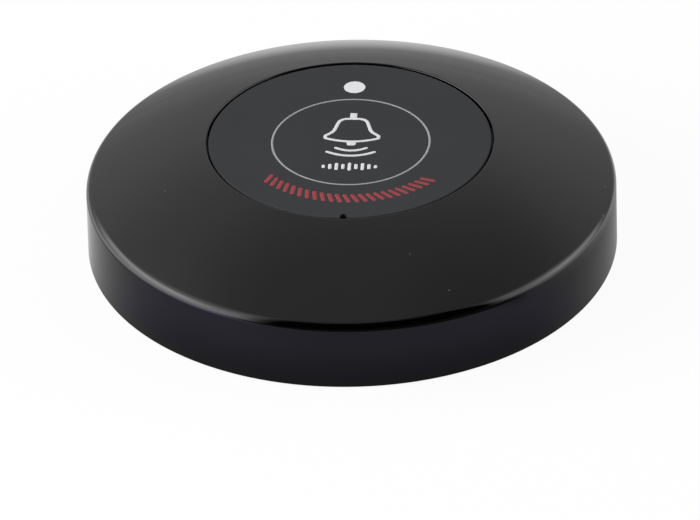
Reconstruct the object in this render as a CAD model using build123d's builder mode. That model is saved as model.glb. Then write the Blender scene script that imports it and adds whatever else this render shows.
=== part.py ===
from build123d import *
from math import cos, radians, sin, sqrt
import os

# A round waiter call button: a small table-top radio transmitter with one large press cap.
# The origin is the centre of the underside, where the foot ring meets the table. +Z is up and
# +Y points towards the indicator window. Every size is in millimetres and every angle in degrees.

os.makedirs("parts", exist_ok=True)

# --- housing -------------------------------------------------------------------------------
body_dia = 80.0          # outside diameter
foot_lift = 0.3          # the foot ring holds the housing this far off the table
wall_height = 9.7        # of the upright side wall, up to where the rim rounding starts
rim_radius = 1.75        # rounding from the side wall into the dome
rim_slope = 28.0         # slope of the dome at the rim
wall_thickness = 2.4
board_headroom = 2.4     # from the circuit board up to the underside of the well floor
dome_thickness = 1.8
rabbet_wall = 1.2        # what is left of the side wall outside the base plate
well_wall = 1.4
well_floor = 1.2
edge_round = 0.2
hem_round = 0.2          # rounding of the side wall's lower edge
rib_thickness = 1.2

# --- press cap -----------------------------------------------------------------------------
cap_dia = 42.7
cap_gap = 0.28           # radial gap between the cap and the wall of its well
cap_recess = 0.15        # how far the cap's face lies below the edge of the well
cap_thickness = 1.7
skirt_thickness = 1.3
cap_travel = 0.35
stop_clearance = 0.3     # between the skirt and the well floor at the end of the travel
spring_height = 3.3      # from the well floor to the underside of the cap
notch_radius = 0.55      # pry notch in the front edge of the cap
notch_reach = 1.1
notch_depth = 1.2
post_radius = 2.2        # post in the middle of the cap that works the switch
web_reach = 4.4          # webs that stiffen the post
web_thickness = 1.0
actuator_gap = 0.05      # between the post and the switch plunger

# --- snap legs of the cap ------------------------------------------------------------------
leg_count = 3
leg_first_angle = 30.0
leg_outer = 18.2         # distance from the axis to the outer face of a leg
leg_thickness = 1.2
leg_width = 6.0
hook_reach = 1.1
hook_height = 1.0
hook_gap = 0.05          # between a hook and the underside of the well floor
leg_clearance = 0.3      # round a leg in its slot

# --- light guide ---------------------------------------------------------------------------
window_dia = 3.3
window_offset = 14.9     # from the axis to the middle of the window
guide_fit = 0.02
guide_flange_radius = 2.4
guide_flange_height = 0.7
guide_stem_radius = 1.4
guide_led_gap = 0.5
guide_hole_clearance = 0.9

# --- return spring -------------------------------------------------------------------------
spring_radius = 7.0      # of the coil's middle line
spring_wire = 0.5
spring_turns = 2.5
spring_seat_clearance = 0.4
seat_ring_thickness = 0.8
seat_ring_height = 0.8

# --- base plate ----------------------------------------------------------------------------
base_thickness = 2.6
base_fit = 0.15          # between the base plate and the rabbet of the side wall
base_chamfer = 0.3
gasket_thickness = 0.5
foot_margin = 1.65       # from the base plate's edge to the foot ring
foot_width = 3.6
foot_thickness = 1.0
foot_round = 0.25

# --- housing screws ------------------------------------------------------------------------
screw_count = 3
screw_first_angle = 90.0
screw_margin = 1.2       # from the foot ring to the recess of a screw
screw_radius = 1.3
screw_length = 7.5
screw_head_radius = 2.3
screw_head_height = 1.5
screw_head_round = 0.5
screw_boss_radius = 3.0
screw_recess_clearance = 0.4
screw_head_sink = 0.2    # how far the heads lie inside the base plate
thread_fit = 0.03
clearance_hole = 0.3     # added to a screw's radius where it passes freely
base_boss_radius = 3.6
base_boss_height = 1.0
cross_length = 2.6
cross_width = 0.6
cross_depth = 0.8

# --- battery compartment -------------------------------------------------------------------
cell_dia = 20.0
cell_height = 3.2
cell_clearance = 0.05    # between the cell and the door
cell_side_clearance = 0.3
cell_rim = 1.1           # width of the can's turned-over rim
cell_step = 0.15         # how far the negative face stands above that rim
cell_corner = 0.3
door_radius = 15.0
door_side_gap = 0.25
door_sink = 0.2          # how far the door lies inside the underside
door_flange = 1.25
door_face_gap = 0.1
door_chamfer = 0.3
plug_radius = 11.2
plug_recess_radius = 7.0
plug_recess_depth = 1.0
plug_gap = 0.25
lug_count = 3
lug_first_angle = 30.0
lug_reach = 1.2
lug_width = 5.0
lug_height = 0.8
lug_gap = 0.1
lug_play = 0.4           # around a lug in its entry notch
door_twist = 45.0        # from locked to where the lugs meet their notches
coin_slot_length = 17.0
coin_slot_width = 2.0
coin_slot_depth = 0.9
seal_section = 0.8
seal_radius = 13.8       # of the seal ring's middle line
seal_fit = 0.01
seal_groove_width = 0.95
bay_wall = 1.4
bay_gap = 0.5            # between the lugs and the wall of the compartment
bay_height = 4.6
bay_rib_count = 6
bay_rib_first_angle = 30.0
bay_rib_width = 1.2
bay_rib_length = 3.0
contact_height = 1.05    # from the cell up to the circuit board

# --- circuit board -------------------------------------------------------------------------
board_margin = 3.5       # from the circle of the housing screws to the board's edge
board_thickness = 1.6
board_notch_clearance = 0.4
post_inset = 3.5         # from the board's edge to the middle of a post
board_post_count = 3
board_post_first_angle = 50.0
board_post_radius = 2.4
board_screw_radius = 1.0
board_screw_length = 5.0
board_screw_head_radius = 1.9
board_screw_head_height = 1.3
board_screw_head_round = 0.4
board_cross_length = 2.2
board_cross_depth = 0.6

# --- tact switch ---------------------------------------------------------------------------
switch_width = 6.0
switch_height = 3.5      # from the board to the top of the metal cover
switch_corner = 0.4
cover_thickness = 0.3
cover_tab_width = 2.4
cover_tab_length = 1.6
cavity_radius = 2.3
cavity_floor = 1.3       # of the switch body, above the board
plunger_radius = 1.75
plunger_flange_radius = 2.1
plunger_flange_height = 0.7
plunger_proud = 0.8      # how far the plunger stands out of the cover
plunger_fit = 0.08
plunger_round = 0.3
snap_dome_radius = 2.0
snap_dome_height = 0.45
snap_dome_thickness = 0.1
snap_dome_gap = 0.05
floor_opening = 5.0      # hole in the well floor around the switch

# --- small parts on the board --------------------------------------------------------------
lead_thickness = 0.2
lead_shoulder = 0.4      # from a body's side to where its leads bend down
switch_lead_width = 0.7
switch_lead_spacing = 4.5
switch_lead_reach = 1.3
switch_lead_exit = 0.8   # height at which the leads leave the body
led_length = 3.0
led_width = 1.6
led_height = 0.8
led_corner = 0.3
encoder_x = -12.5
encoder_y = 2.0
encoder_length = 4.9
encoder_width = 3.9
encoder_height = 1.5
encoder_chamfer = 0.25
encoder_standoff = 0.1
encoder_pins = 4         # on each side
encoder_pitch = 1.27
encoder_lead_width = 0.4
encoder_lead_reach = 1.0
encoder_lead_exit = 0.8
crystal_x = 12.0
crystal_y = -3.0
crystal_length = 5.0
crystal_width = 3.2
crystal_height = 1.1
crystal_corner = 0.5
transistor_x = 11.0
transistor_y = 7.0
transistor_length = 2.9
transistor_width = 1.3
transistor_height = 1.0
chip_length = 2.0
chip_width = 1.25
chip_gap = 3.4           # between neighbours in a row of chips
capacitor_height = 1.2
capacitor_count = 4
capacitor_row_x = 4.0
capacitor_row_inset = 9.0    # from the board's front edge to the row
resistor_height = 0.55
resistor_count = 5
resistor_row_inset = 5.4     # from the board's left edge to the first resistor
resistor_row_y = 10.5
antenna_inset = 2.0      # from the board's edge to the wire's middle line
antenna_wire = 0.9
antenna_rise = 1.1       # of the wire's middle line above the board
antenna_first_angle = 184.0
antenna_span = 92.0

# --- battery contacts ----------------------------------------------------------------------
contact_strip = 0.25
contact_width = 5.0
contact_run = 6.5        # half the length of the negative contact
contact_pad = 2.0        # length of each soldered foot
side_contact_angle = 180.0
side_contact_width = 4.0
side_contact_length = 2.6
side_contact_foot = 2.4
side_contact_gap = 0.05

# --- heights worked out from the sizes above -------------------------------------------------
base_bottom = foot_lift
wall_top = base_bottom + wall_height
base_top = base_bottom + base_thickness
door_bottom = base_bottom + door_sink
flange_top = door_bottom + door_flange
door_seat = flange_top + door_face_gap
lug_bottom = base_top + lug_gap
plug_top = lug_bottom + lug_height
cell_bottom = plug_top + cell_clearance
cell_top = cell_bottom + cell_height
board_bottom = cell_top + contact_height
board_top = board_bottom + board_thickness
switch_top = board_top + switch_height
plunger_top = switch_top + plunger_proud
floor_bottom = board_top + board_headroom
floor_top = floor_bottom + well_floor
cap_under = floor_top + spring_height
cap_top = cap_under + cap_thickness
dome_top = cap_top + cap_recess
skirt_bottom = floor_top + cap_travel + stop_clearance
hook_top = floor_bottom - hook_gap
hook_bottom = hook_top - hook_height
boss_bottom = base_top + base_boss_height
rabbet_top = base_top + gasket_thickness
screw_seat = base_bottom + screw_head_sink + screw_head_height
screw_tip = screw_seat + screw_length

# --- radii worked out from the sizes above ---------------------------------------------------
body_radius = body_dia / 2
cap_radius = cap_dia / 2
well_radius = cap_radius + cap_gap
well_outer = well_radius + well_wall
wall_inner = body_radius - wall_thickness
rabbet_radius = body_radius - rabbet_wall
base_radius = rabbet_radius - base_fit
foot_outer = base_radius - foot_margin
foot_inner = foot_outer - foot_width
screw_circle = foot_inner - screw_margin - screw_recess_clearance - screw_head_radius
board_radius = screw_circle - board_margin
post_circle = board_radius - post_inset
antenna_radius = board_radius - antenna_inset
lug_radius = plug_radius + lug_reach
opening_radius = plug_radius + plug_gap
bay_radius = lug_radius + bay_gap
cell_radius = cell_dia / 2

# The dome is one arc. It leaves the rim rounding at the rim slope and ends at the well's edge.
rim_end_r = body_radius - rim_radius + rim_radius * sin(radians(rim_slope))
rim_end_z = wall_top + rim_radius * cos(radians(rim_slope))
chord_r = well_radius - rim_end_r
chord_z = dome_top - rim_end_z
normal_r = sin(radians(rim_slope))
normal_z = cos(radians(rim_slope))
dome_radius = -(chord_r**2 + chord_z**2) / (2 * (chord_r * normal_r + chord_z * normal_z))
dome_centre_r = rim_end_r - dome_radius * normal_r
dome_centre_z = rim_end_z - dome_radius * normal_z


def dome_height(radius, inset=0.0):
    """Height of the dome at a distance from the axis, or of the surface this far inside it."""
    return dome_centre_z + sqrt((dome_radius - inset) ** 2 - (radius - dome_centre_r) ** 2)


def upright_plane(angle):
    """Upright plane through the axis: its x points outwards at the angle and its y points up."""
    turn = radians(angle)
    return Plane(origin=(0, 0, 0), x_dir=(cos(turn), sin(turn), 0), z_dir=(sin(turn), -cos(turn), 0))


def around(radius, count, first):
    """Places on a circle about the axis, each with its x pointing outwards."""
    return PolarLocations(radius, count, start_angle=first)


# --- top shell -------------------------------------------------------------------------------
# What the shell is hollow by, with its screw bosses and their ribs left standing.
with BuildPart() as shell_hollow:
    with BuildSketch(Plane.XZ):
        with BuildLine():
            inner_middle = (wall_inner + well_outer) / 2
            Polyline(
                (wall_inner, dome_height(wall_inner, dome_thickness)),
                (wall_inner, rabbet_top),
                (rabbet_radius, rabbet_top),
                (rabbet_radius, 0),
                (0, 0),
                (0, floor_bottom),
                (well_outer, floor_bottom),
                (well_outer, dome_height(well_outer, dome_thickness)),
            )
            ThreePointArc(
                (well_outer, dome_height(well_outer, dome_thickness)),
                (inner_middle, dome_height(inner_middle, dome_thickness)),
                (wall_inner, dome_height(wall_inner, dome_thickness)),
            )
        make_face()
    revolve(axis=Axis.Z)
    with BuildSketch(Plane.XY.offset(boss_bottom)):
        with around(screw_circle, screw_count, screw_first_angle):
            Circle(screw_boss_radius)
    extrude(amount=dome_top, mode=Mode.SUBTRACT)
    with BuildSketch(Plane.XY.offset(rabbet_top + base_boss_height)):
        with around((screw_circle + body_radius) / 2, screw_count, screw_first_angle):
            Rectangle(body_radius - screw_circle, rib_thickness)
    extrude(amount=dome_top, mode=Mode.SUBTRACT)

with BuildPart() as top_shell:
    with BuildSketch(Plane.XZ) as shell_profile:
        with BuildLine():
            Polyline(
                (well_radius, dome_top),
                (well_radius, floor_top),
                (0, floor_top),
                (0, base_bottom),
                (body_radius, base_bottom),
                (body_radius, wall_top),
            )
            TangentArc((body_radius, wall_top), (rim_end_r, rim_end_z), tangent=(0, 1))
            ThreePointArc(
                (rim_end_r, rim_end_z),
                ((rim_end_r + well_radius) / 2, dome_height((rim_end_r + well_radius) / 2)),
                (well_radius, dome_top),
            )
        make_face()
        fillet(shell_profile.vertices().group_by(Axis.Y)[-1], radius=edge_round)
        lower_corners = shell_profile.vertices().group_by(Axis.Y)[0]
        fillet(lower_corners.sort_by(Axis.X)[-1], radius=hem_round)
    revolve(axis=Axis.Z)
    add(shell_hollow.part, mode=Mode.SUBTRACT)
    with BuildSketch(Plane.XY.offset(boss_bottom)):
        with around(screw_circle, screw_count, screw_first_angle):
            Circle(screw_radius + thread_fit)
    extrude(amount=screw_tip + thread_fit - boss_bottom, mode=Mode.SUBTRACT)
    with BuildSketch(Plane.XY.offset(floor_bottom)):
        slot_inner = leg_outer - leg_thickness - hook_reach - leg_clearance
        slot_outer = leg_outer + leg_clearance
        with around((slot_inner + slot_outer) / 2, leg_count, leg_first_angle):
            Rectangle(slot_outer - slot_inner, leg_width + 2 * leg_clearance)
        with Locations((0, window_offset)):
            Circle(guide_stem_radius + guide_hole_clearance)
        Circle(floor_opening)
    extrude(amount=well_floor, mode=Mode.SUBTRACT)
top_shell.part.label = "top_shell"
export_step(top_shell.part, "parts/top_shell.step")

# --- housing gasket ----------------------------------------------------------------------------
with BuildPart() as housing_gasket:
    with BuildSketch(Plane.XY.offset(base_top)):
        Circle(base_radius)
        Circle(wall_inner, mode=Mode.SUBTRACT)
    extrude(amount=gasket_thickness)
housing_gasket.part.label = "housing_gasket"
export_step(housing_gasket.part, "parts/housing_gasket.step")

# --- press cap -----------------------------------------------------------------------------
with BuildPart() as press_cap:
    with BuildSketch(Plane.XZ) as cap_profile:
        with BuildLine():
            Polyline(
                (0, cap_top),
                (cap_radius, cap_top),
                (cap_radius, skirt_bottom),
                (cap_radius - skirt_thickness, skirt_bottom),
                (cap_radius - skirt_thickness, cap_under),
                (0, cap_under),
                close=True,
            )
        make_face()
        top_corners = cap_profile.vertices().group_by(Axis.Y)[-1]
        fillet(top_corners.sort_by(Axis.X)[-1], radius=edge_round)
    revolve(axis=Axis.Z)
    # The post, its webs and the ring that centres the spring.
    with BuildSketch(Plane.XY.offset(plunger_top + actuator_gap)):
        Circle(post_radius)
    extrude(amount=cap_under - plunger_top - actuator_gap)
    with BuildSketch(Plane.XY.offset(cap_under)):
        seat_ring = spring_radius - spring_wire / 2 - spring_seat_clearance
        Circle(seat_ring)
        Circle(seat_ring - seat_ring_thickness, mode=Mode.SUBTRACT)
        Rectangle(2 * web_reach, web_thickness)
        Rectangle(web_thickness, 2 * web_reach)
    extrude(amount=-seat_ring_height)
    # The snap legs reach through the well floor, and their hooks catch below it.
    with BuildSketch(Plane.XY.offset(hook_bottom)):
        with around(leg_outer - leg_thickness / 2, leg_count, leg_first_angle):
            Rectangle(leg_thickness, leg_width)
    extrude(amount=cap_under - hook_bottom)
    for number in range(leg_count):
        hook_angle = leg_first_angle + number * 360 / leg_count
        with BuildSketch(upright_plane(hook_angle)):
            with BuildLine():
                Polyline(
                    (leg_outer - leg_thickness, hook_bottom),
                    (leg_outer + hook_reach / 2, hook_bottom),
                    (leg_outer + hook_reach, hook_bottom + hook_height / 2),
                    (leg_outer + hook_reach, hook_top),
                    (leg_outer - leg_thickness, hook_top),
                    close=True,
                )
            make_face()
        extrude(amount=leg_width / 2, both=True)
    # The window's hole and the pry notch.
    with BuildSketch(Plane.XY.offset(cap_top)):
        with Locations((0, window_offset)):
            Circle(window_dia / 2)
    extrude(amount=-cap_thickness, mode=Mode.SUBTRACT)
    with BuildSketch(Plane.XY.offset(cap_top)):
        with Locations((0, -(cap_radius - notch_reach + notch_radius))):
            Circle(notch_radius)
        with Locations((0, -(cap_radius + notch_radius - notch_reach / 2))):
            Rectangle(2 * notch_radius, notch_reach)
    extrude(amount=-notch_depth, mode=Mode.SUBTRACT)
press_cap.part.label = "press_cap"
export_step(press_cap.part, "parts/press_cap.step")

# --- light guide -----------------------------------------------------------------------------
led_top = board_top + led_height
with BuildPart() as light_guide:
    with BuildSketch(Plane.XY.offset(cap_top)):
        with Locations((0, window_offset)):
            Circle(window_dia / 2 - guide_fit)
    extrude(amount=-cap_thickness)
    with BuildSketch(Plane.XY.offset(cap_under)):
        with Locations((0, window_offset)):
            Circle(guide_flange_radius)
    extrude(amount=-guide_flange_height)
    with BuildSketch(Plane.XY.offset(led_top + guide_led_gap)):
        with Locations((0, window_offset)):
            Circle(guide_stem_radius)
    extrude(amount=cap_under - led_top - guide_led_gap)
light_guide.part.label = "light_guide"
export_step(light_guide.part, "parts/light_guide.step")

# --- return spring ---------------------------------------------------------------------------
with BuildPart() as return_spring:
    with BuildLine() as coil:
        coil_rise = spring_height - spring_wire
        Helix(
            pitch=coil_rise / spring_turns,
            height=coil_rise,
            radius=spring_radius,
            center=(0, 0, floor_top + spring_wire / 2),
        )
    with BuildSketch(Plane(origin=coil.line @ 0, z_dir=coil.line % 0)):
        Circle(spring_wire / 2)
    sweep(is_frenet=True)
return_spring.part.label = "return_spring"
export_step(return_spring.part, "parts/return_spring.step")

# --- base plate ------------------------------------------------------------------------------
with BuildPart() as base_plate:
    with BuildSketch(Plane.XY.offset(base_bottom)):
        Circle(base_radius)
    extrude(amount=base_thickness)
    chamfer(base_plate.edges().group_by(Axis.Z)[0], length=base_chamfer)
    # Bosses for the housing screws, posts for the board and the wall of the compartment.
    with BuildSketch(Plane.XY.offset(base_top)):
        with around(screw_circle, screw_count, screw_first_angle):
            Circle(base_boss_radius)
    extrude(amount=base_boss_height)
    with BuildSketch(Plane.XY.offset(base_top)):
        with around(post_circle, board_post_count, board_post_first_angle):
            Circle(board_post_radius)
    extrude(amount=board_bottom - base_top)
    with BuildSketch(Plane.XY.offset(base_top)):
        Circle(bay_radius + bay_wall)
        Circle(bay_radius, mode=Mode.SUBTRACT)
    extrude(amount=bay_height)
    rib_inner = cell_radius + cell_side_clearance
    with BuildSketch(Plane.XY.offset(base_top + bay_height)):
        with around((rib_inner + bay_radius + bay_wall) / 2, bay_rib_count, bay_rib_first_angle):
            Rectangle(bay_radius + bay_wall - rib_inner, bay_rib_width)
        Circle(bay_radius + bay_wall, mode=Mode.INTERSECT)
    extrude(amount=-bay_rib_length)
    # Holes: screws, door, lug notches and the channel of the foot ring.
    with BuildSketch(Plane.XY.offset(base_bottom)):
        with around(screw_circle, screw_count, screw_first_angle):
            Circle(screw_radius + clearance_hole)
    extrude(amount=base_thickness + base_boss_height, mode=Mode.SUBTRACT)
    with BuildSketch(Plane.XY.offset(base_bottom)):
        with around(screw_circle, screw_count, screw_first_angle):
            Circle(screw_head_radius + screw_recess_clearance)
    extrude(amount=screw_seat - base_bottom, mode=Mode.SUBTRACT)
    with BuildSketch(Plane.XY.offset(board_bottom)):
        with around(post_circle, board_post_count, board_post_first_angle):
            Circle(board_screw_radius + thread_fit)
    extrude(amount=-(board_screw_length - board_thickness + thread_fit), mode=Mode.SUBTRACT)
    with BuildSketch(Plane.XY.offset(base_bottom)):
        Circle(foot_outer)
        Circle(foot_inner, mode=Mode.SUBTRACT)
    extrude(amount=foot_thickness - foot_lift, mode=Mode.SUBTRACT)
    with BuildSketch(Plane.XY.offset(base_bottom)):
        Circle(door_radius + door_side_gap)
    extrude(amount=door_seat - base_bottom, mode=Mode.SUBTRACT)
    with BuildSketch(Plane.XY.offset(door_seat)):
        with around(plug_radius, lug_count, lug_first_angle - door_twist):
            Rectangle(2 * (lug_reach + lug_play), lug_width + 2 * lug_play)
        Circle(lug_radius + lug_play, mode=Mode.INTERSECT)
        Circle(opening_radius)
    extrude(amount=base_top - door_seat, mode=Mode.SUBTRACT)
base_plate.part.label = "base_plate"
export_step(base_plate.part, "parts/base_plate.step")

# --- foot ring -------------------------------------------------------------------------------
with BuildPart() as foot_ring:
    with BuildSketch():
        Circle(foot_outer)
        Circle(foot_inner, mode=Mode.SUBTRACT)
    extrude(amount=foot_thickness)
    fillet(foot_ring.edges().group_by(Axis.Z)[0], radius=foot_round)
foot_ring.part.label = "foot_ring"
export_step(foot_ring.part, "parts/foot_ring.step")

# --- housing screws --------------------------------------------------------------------------
with BuildPart() as housing_screws:
    with BuildSketch(Plane.XY.offset(screw_seat)):
        with around(screw_circle, screw_count, screw_first_angle):
            Circle(screw_radius)
    extrude(amount=screw_length)
    with BuildSketch(Plane.XY.offset(screw_seat)):
        with around(screw_circle, screw_count, screw_first_angle):
            Circle(screw_head_radius)
    extrude(amount=-screw_head_height)
    fillet(housing_screws.edges().group_by(Axis.Z)[0], radius=screw_head_round)
    with BuildSketch(Plane.XY.offset(screw_seat - screw_head_height)):
        with around(screw_circle, screw_count, screw_first_angle):
            Rectangle(cross_length, cross_width)
            Rectangle(cross_width, cross_length)
    extrude(amount=cross_depth, mode=Mode.SUBTRACT)
housing_screws.part.label = "housing_screws"
export_step(housing_screws.part, "parts/housing_screws.step")

# --- battery door ----------------------------------------------------------------------------
with BuildPart() as battery_door:
    with BuildSketch(Plane.XY.offset(door_bottom)):
        Circle(door_radius)
    extrude(amount=door_flange)
    chamfer(battery_door.edges().group_by(Axis.Z)[0], length=door_chamfer)
    with BuildSketch(Plane.XY.offset(flange_top)):
        Circle(plug_radius)
    extrude(amount=plug_top - flange_top)
    with BuildSketch(Plane.XY.offset(lug_bottom)):
        with around(plug_radius, lug_count, lug_first_angle):
            Rectangle(2 * lug_reach, lug_width)
        Circle(lug_radius, mode=Mode.INTERSECT)
    extrude(amount=lug_height)
    with BuildSketch(Plane.XY.offset(plug_top)):
        Circle(plug_recess_radius)
    extrude(amount=-plug_recess_depth, mode=Mode.SUBTRACT)
    with BuildSketch(Plane.XY.offset(flange_top)):
        Circle(seal_radius + seal_groove_width / 2)
        Circle(seal_radius - seal_groove_width / 2, mode=Mode.SUBTRACT)
    extrude(amount=door_face_gap - seal_section, mode=Mode.SUBTRACT)
    with BuildSketch(Plane.XY.offset(door_bottom)):
        SlotOverall(coin_slot_length, coin_slot_width)
    extrude(amount=coin_slot_depth, mode=Mode.SUBTRACT)
battery_door.part.label = "battery_door"
export_step(battery_door.part, "parts/battery_door.step")

# --- door seal -------------------------------------------------------------------------------
with BuildPart() as door_seal:
    with BuildSketch(Plane.XZ):
        with Locations((seal_radius, door_seat - seal_section / 2)):
            Circle(seal_section / 2 - seal_fit)
    revolve(axis=Axis.Z)
door_seal.part.label = "door_seal"
export_step(door_seal.part, "parts/door_seal.step")

# --- coin cell -------------------------------------------------------------------------------
with BuildPart() as coin_cell:
    with BuildSketch(Plane.XZ) as cell_profile:
        with BuildLine():
            Polyline(
                (0, cell_bottom),
                (cell_radius, cell_bottom),
                (cell_radius, cell_top - cell_step),
                (cell_radius - cell_rim, cell_top - cell_step),
                (cell_radius - cell_rim, cell_top),
                (0, cell_top),
                close=True,
            )
        make_face()
        can_corners = cell_profile.vertices().group_by(Axis.X)[-1]
        fillet(can_corners, radius=cell_corner)
    revolve(axis=Axis.Z)
coin_cell.part.label = "coin_cell"
export_step(coin_cell.part, "parts/coin_cell.step")

# --- battery contacts ------------------------------------------------------------------------
# A bowed strip presses on the negative face, and a bent tab touches the side of the can.
with BuildPart() as negative_contact:
    with BuildSketch(Plane.XZ):
        with BuildLine():
            strip_high = board_bottom - contact_strip / 2
            strip_low = cell_top + contact_strip / 2
            Polyline(
                (-contact_run, strip_high),
                (-contact_run + contact_pad, strip_high),
                (-contact_pad / 2, strip_low),
                (contact_pad / 2, strip_low),
                (contact_run - contact_pad, strip_high),
                (contact_run, strip_high),
            )
        trace(line_width=contact_strip)
    extrude(amount=contact_width / 2, both=True)
negative_contact.part.label = "negative_contact"
export_step(negative_contact.part, "parts/negative_contact.step")

with BuildPart() as positive_contact:
    with BuildSketch(upright_plane(side_contact_angle)):
        with BuildLine():
            tab_radius = cell_radius + side_contact_gap + contact_strip / 2
            Polyline(
                (tab_radius, board_bottom - side_contact_length),
                (tab_radius, board_bottom - contact_strip / 2),
                (tab_radius + side_contact_foot, board_bottom - contact_strip / 2),
            )
        trace(line_width=contact_strip)
    extrude(amount=side_contact_width / 2, both=True)
positive_contact.part.label = "positive_contact"
export_step(positive_contact.part, "parts/positive_contact.step")

# --- circuit board ---------------------------------------------------------------------------
with BuildPart() as circuit_board:
    with BuildSketch(Plane.XY.offset(board_bottom)):
        Circle(board_radius)
        with around(screw_circle, screw_count, screw_first_angle):
            Circle(screw_boss_radius + board_notch_clearance, mode=Mode.SUBTRACT)
        with around(post_circle, board_post_count, board_post_first_angle):
            Circle(board_screw_radius + thread_fit, mode=Mode.SUBTRACT)
    extrude(amount=board_thickness)
circuit_board.part.label = "circuit_board"
export_step(circuit_board.part, "parts/circuit_board.step")

# --- board screws ----------------------------------------------------------------------------
with BuildPart() as board_screws:
    with BuildSketch(Plane.XY.offset(board_top)):
        with around(post_circle, board_post_count, board_post_first_angle):
            Circle(board_screw_radius)
    extrude(amount=-board_screw_length)
    with BuildSketch(Plane.XY.offset(board_top)):
        with around(post_circle, board_post_count, board_post_first_angle):
            Circle(board_screw_head_radius)
    extrude(amount=board_screw_head_height)
    fillet(board_screws.edges().group_by(Axis.Z)[-1], radius=board_screw_head_round)
    with BuildSketch(Plane.XY.offset(board_top + board_screw_head_height)):
        with around(post_circle, board_post_count, board_post_first_angle):
            Rectangle(board_cross_length, cross_width)
            Rectangle(cross_width, board_cross_length)
    extrude(amount=-board_cross_depth, mode=Mode.SUBTRACT)
board_screws.part.label = "board_screws"
export_step(board_screws.part, "parts/board_screws.step")

# --- tact switch -----------------------------------------------------------------------------
cover_under = switch_top - cover_thickness
with BuildPart() as switch_body:
    with BuildSketch(Plane.XY.offset(board_top)):
        RectangleRounded(switch_width, switch_width, switch_corner)
    extrude(amount=cover_under - board_top)
    with BuildSketch(Plane.XY.offset(board_top + cavity_floor)):
        Circle(cavity_radius)
    extrude(amount=cover_under - board_top - cavity_floor, mode=Mode.SUBTRACT)
switch_body.part.label = "switch_body"
export_step(switch_body.part, "parts/switch_body.step")

with BuildPart() as switch_cover:
    with BuildSketch(Plane.XY.offset(cover_under)):
        RectangleRounded(switch_width, switch_width, switch_corner)
        tab_middle = (switch_width + cover_thickness) / 2
        with Locations((0, tab_middle), (0, -tab_middle)):
            Rectangle(cover_tab_width, cover_thickness)
        Circle(plunger_radius + plunger_fit, mode=Mode.SUBTRACT)
    extrude(amount=cover_thickness)
    with BuildSketch(Plane.XY.offset(cover_under)):
        with Locations((0, tab_middle), (0, -tab_middle)):
            Rectangle(cover_tab_width, cover_thickness)
    extrude(amount=-cover_tab_length)
switch_cover.part.label = "switch_cover"
export_step(switch_cover.part, "parts/switch_cover.step")

dome_foot = board_top + cavity_floor
with BuildPart() as switch_plunger:
    plunger_bottom = dome_foot + snap_dome_height + snap_dome_gap
    with BuildSketch(Plane.XY.offset(plunger_bottom)):
        Circle(plunger_radius)
    extrude(amount=plunger_top - plunger_bottom)
    fillet(switch_plunger.edges().group_by(Axis.Z)[-1], radius=plunger_round)
    with BuildSketch(Plane.XY.offset(cover_under - plunger_fit)):
        Circle(plunger_flange_radius)
    extrude(amount=-plunger_flange_height)
switch_plunger.part.label = "switch_plunger"
export_step(switch_plunger.part, "parts/switch_plunger.step")

with BuildPart() as switch_snap_dome:
    with BuildSketch(Plane.XZ):
        with BuildLine():
            dome_ball = (snap_dome_radius**2 + snap_dome_height**2) / (2 * snap_dome_height)
            ball_centre = dome_foot + snap_dome_height - dome_ball
            half_way = snap_dome_radius / 2
            inner_ball = dome_ball - snap_dome_thickness
            inner_foot = sqrt(inner_ball**2 - (dome_foot - ball_centre) ** 2)
            ThreePointArc(
                (0, dome_foot + snap_dome_height),
                (half_way, ball_centre + sqrt(dome_ball**2 - half_way**2)),
                (snap_dome_radius, dome_foot),
            )
            Line((snap_dome_radius, dome_foot), (inner_foot, dome_foot))
            ThreePointArc(
                (inner_foot, dome_foot),
                (half_way, ball_centre + sqrt(inner_ball**2 - half_way**2)),
                (0, ball_centre + inner_ball),
            )
            Line((0, ball_centre + inner_ball), (0, dome_foot + snap_dome_height))
        make_face()
    revolve(axis=Axis.Z)
switch_snap_dome.part.label = "switch_snap_dome"
export_step(switch_snap_dome.part, "parts/switch_snap_dome.step")


def gull_wing_row(side, side_x, reach, exit_height, y_places, width):
    """Bent leads from a body's side down to the board, one at each y. side is -1 or 1."""
    for y_place in y_places:
        with BuildSketch(Plane.XZ.offset(-y_place)) as lead:
            with BuildLine():
                Polyline(
                    (side_x, board_top + exit_height),
                    (side_x + side * lead_shoulder, board_top + exit_height),
                    (side_x + side * lead_shoulder, board_top + lead_thickness / 2),
                    (side_x + side * reach, board_top + lead_thickness / 2),
                )
            trace(line_width=lead_thickness)
        extrude(lead.sketch, amount=width / 2, both=True)


with BuildPart() as switch_terminals:
    terminal_rows = (-switch_lead_spacing / 2, switch_lead_spacing / 2)
    for side in (-1, 1):
        gull_wing_row(
            side,
            side * switch_width / 2,
            switch_lead_reach,
            switch_lead_exit,
            terminal_rows,
            switch_lead_width,
        )
switch_terminals.part.label = "switch_terminals"
export_step(switch_terminals.part, "parts/switch_terminals.step")

# --- indicator LED ---------------------------------------------------------------------------
with BuildPart() as indicator_led:
    with BuildSketch(Plane.XY.offset(board_top)):
        with Locations((0, window_offset)):
            Rectangle(led_length, led_width)
    extrude(amount=led_height)
    chamfer(indicator_led.edges().filter_by(Axis.Z), length=led_corner)
indicator_led.part.label = "indicator_led"
export_step(indicator_led.part, "parts/indicator_led.step")

# --- encoder chip ----------------------------------------------------------------------------
with BuildPart() as encoder_chip:
    with BuildSketch(Plane.XY.offset(board_top + encoder_standoff)):
        with Locations((encoder_x, encoder_y)):
            Rectangle(encoder_width, encoder_length)
    extrude(amount=encoder_height)
    chamfer(encoder_chip.edges().group_by(Axis.Z)[-1], length=encoder_chamfer)
encoder_chip.part.label = "encoder_chip"
export_step(encoder_chip.part, "parts/encoder_chip.step")

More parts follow.
